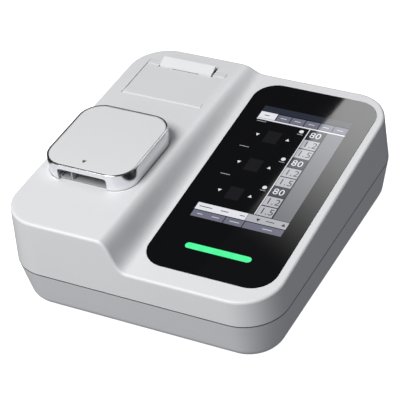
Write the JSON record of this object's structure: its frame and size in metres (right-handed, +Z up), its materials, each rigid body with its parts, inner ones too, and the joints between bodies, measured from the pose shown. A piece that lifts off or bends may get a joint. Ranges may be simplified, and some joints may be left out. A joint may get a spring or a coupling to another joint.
{
  "type": "point-of-care immunoassay analyzer",
  "caption": "Bench analyzer: rounded white casing with a flat top beside a tilted glass screen, a raised card reader with a slot, and a lift-up printer door with its latch.",
  "frame": {"origin": "centre of the casing's plan, on the surface the feet stand on", "axes": "+X to the user's right (screen side), -Y towards the user, +Z up"},
  "size_m": [0.258, 0.28, 0.1155],
  "materials": {
    "white_casing": "satin moulded white",
    "white_lower": "satin moulded white",
    "white_door": "satin moulded",
    "white_latch": "satin moulded",
    "white_body": "satin moulded",
    "cover_plate": "fine satin",
    "foot_rubber": "matt",
    "black_glass": "polished black backed glass",
    "tape_black": "foam",
    "lcd_can": "pressed sheet",
    "zinc_sheet": "zinc plated sheet",
    "screw_steel": "zinc plated",
    "ground_steel": "ground",
    "light_plastic": "clear diffuser, lit green",
    "board_green": "solder mask",
    "chrome_band": "bright plated, brushed round",
    "reader_black": "matt black",
    "carriage_grey": "acetal",
    "nut_brass": "turned",
    "motor_black": "black laminations",
    "printer_grey": "moulded",
    "print_head_alu": "extruded",
    "platen_rubber": "ground",
    "gear_acetal": "acetal",
    "paper": "thermal paper",
    "socket_metal": "plated shell",
    "socket_black": "moulded"
  },
  "bodies": {
    "analyzer": {"upper_casing": "white_casing", "lower_casing": "white_lower", "rubber_feet": "foot_rubber", "casing_screws": "screw_steel", "cover_glass": "black_glass", "glass_tape": "tape_black", "lcd_panel": "lcd_can", "display_bracket": "zinc_sheet", "bracket_screws": "screw_steel", "light_bar": "light_plastic", "lamp_board": "board_green", "lamp_screws": "screw_steel", "module_band": "chrome_band", "module_body": "white_body", "module_cover": "cover_plate", "reader_head": "reader_black", "carriage_frame": "zinc_sheet", "guide_rods": "ground_steel", "carriage_motor": "motor_black", "frame_screws": "screw_steel", "door_hinge_pin": "ground_steel", "printer_frame": "printer_grey", "print_head": "print_head_alu", "latch_pin": "ground_steel", "main_board": "board_green", "board_screws": "screw_steel", "network_socket": "socket_metal", "usb_sockets": "socket_metal", "power_inlet": "socket_black", "switch_housing": "socket_black"},
    "carriage": {"card_carriage": "carriage_grey", "drive_nut": "nut_brass"},
    "drive_screw": {"lead_screw": "ground_steel"},
    "door": {"printer_door": "white_door"},
    "platen": {"platen_shaft": "ground_steel", "platen_sleeve": "platen_rubber", "platen_gear": "gear_acetal"},
    "roll": {"paper_roll": "paper"},
    "latch": {"latch_lever": "white_latch"},
    "rocker": {"switch_rocker": "socket_black"}
  },
  "joints": [
    {"name": "carriage_slide", "type": "slide", "parent": "analyzer", "child": "carriage", "axis": [0, 1, 0], "range_m": [0, 0.032]},
    {"name": "drive_screw_turn", "type": "hinge", "parent": "analyzer", "child": "drive_screw", "pos_m": [-0.0759, 0, 0.085], "axis": [0, 1, 0], "range_deg": [-1440, 0]},
    {"name": "door_hinge", "type": "hinge", "parent": "analyzer", "child": "door", "pos_m": [-0.07175, 0.062, 0.0971], "axis": [1, 0, 0], "range_deg": [0, 90]},
    {"name": "platen_spin", "type": "hinge", "parent": "door", "child": "platen", "pos_m": [-0.07175, 0.1, 0.0905], "axis": [1, 0, 0], "continuous": true},
    {"name": "roll_spin", "type": "hinge", "parent": "analyzer", "child": "roll", "pos_m": [-0.07175, 0.081, 0.0705], "axis": [1, 0, 0], "continuous": true},
    {"name": "latch_hinge", "type": "hinge", "parent": "analyzer", "child": "latch", "pos_m": [-0.07175, 0.1106, 0.0971], "axis": [1, 0, 0], "range_deg": [0, 12], "stiffness_Nm_per_rad": 0.05, "springref_deg": -17.19},
    {"name": "power_rocker", "type": "hinge", "parent": "analyzer", "child": "rocker", "pos_m": [0.079, 0.125, 0.0245], "axis": [0, 0, 1], "range_deg": [0, 16]}
  ],
  "couplings": [
    {"joint": "drive_screw_turn", "follows": "carriage_slide", "rad_per_m": -785.4}
  ]
}
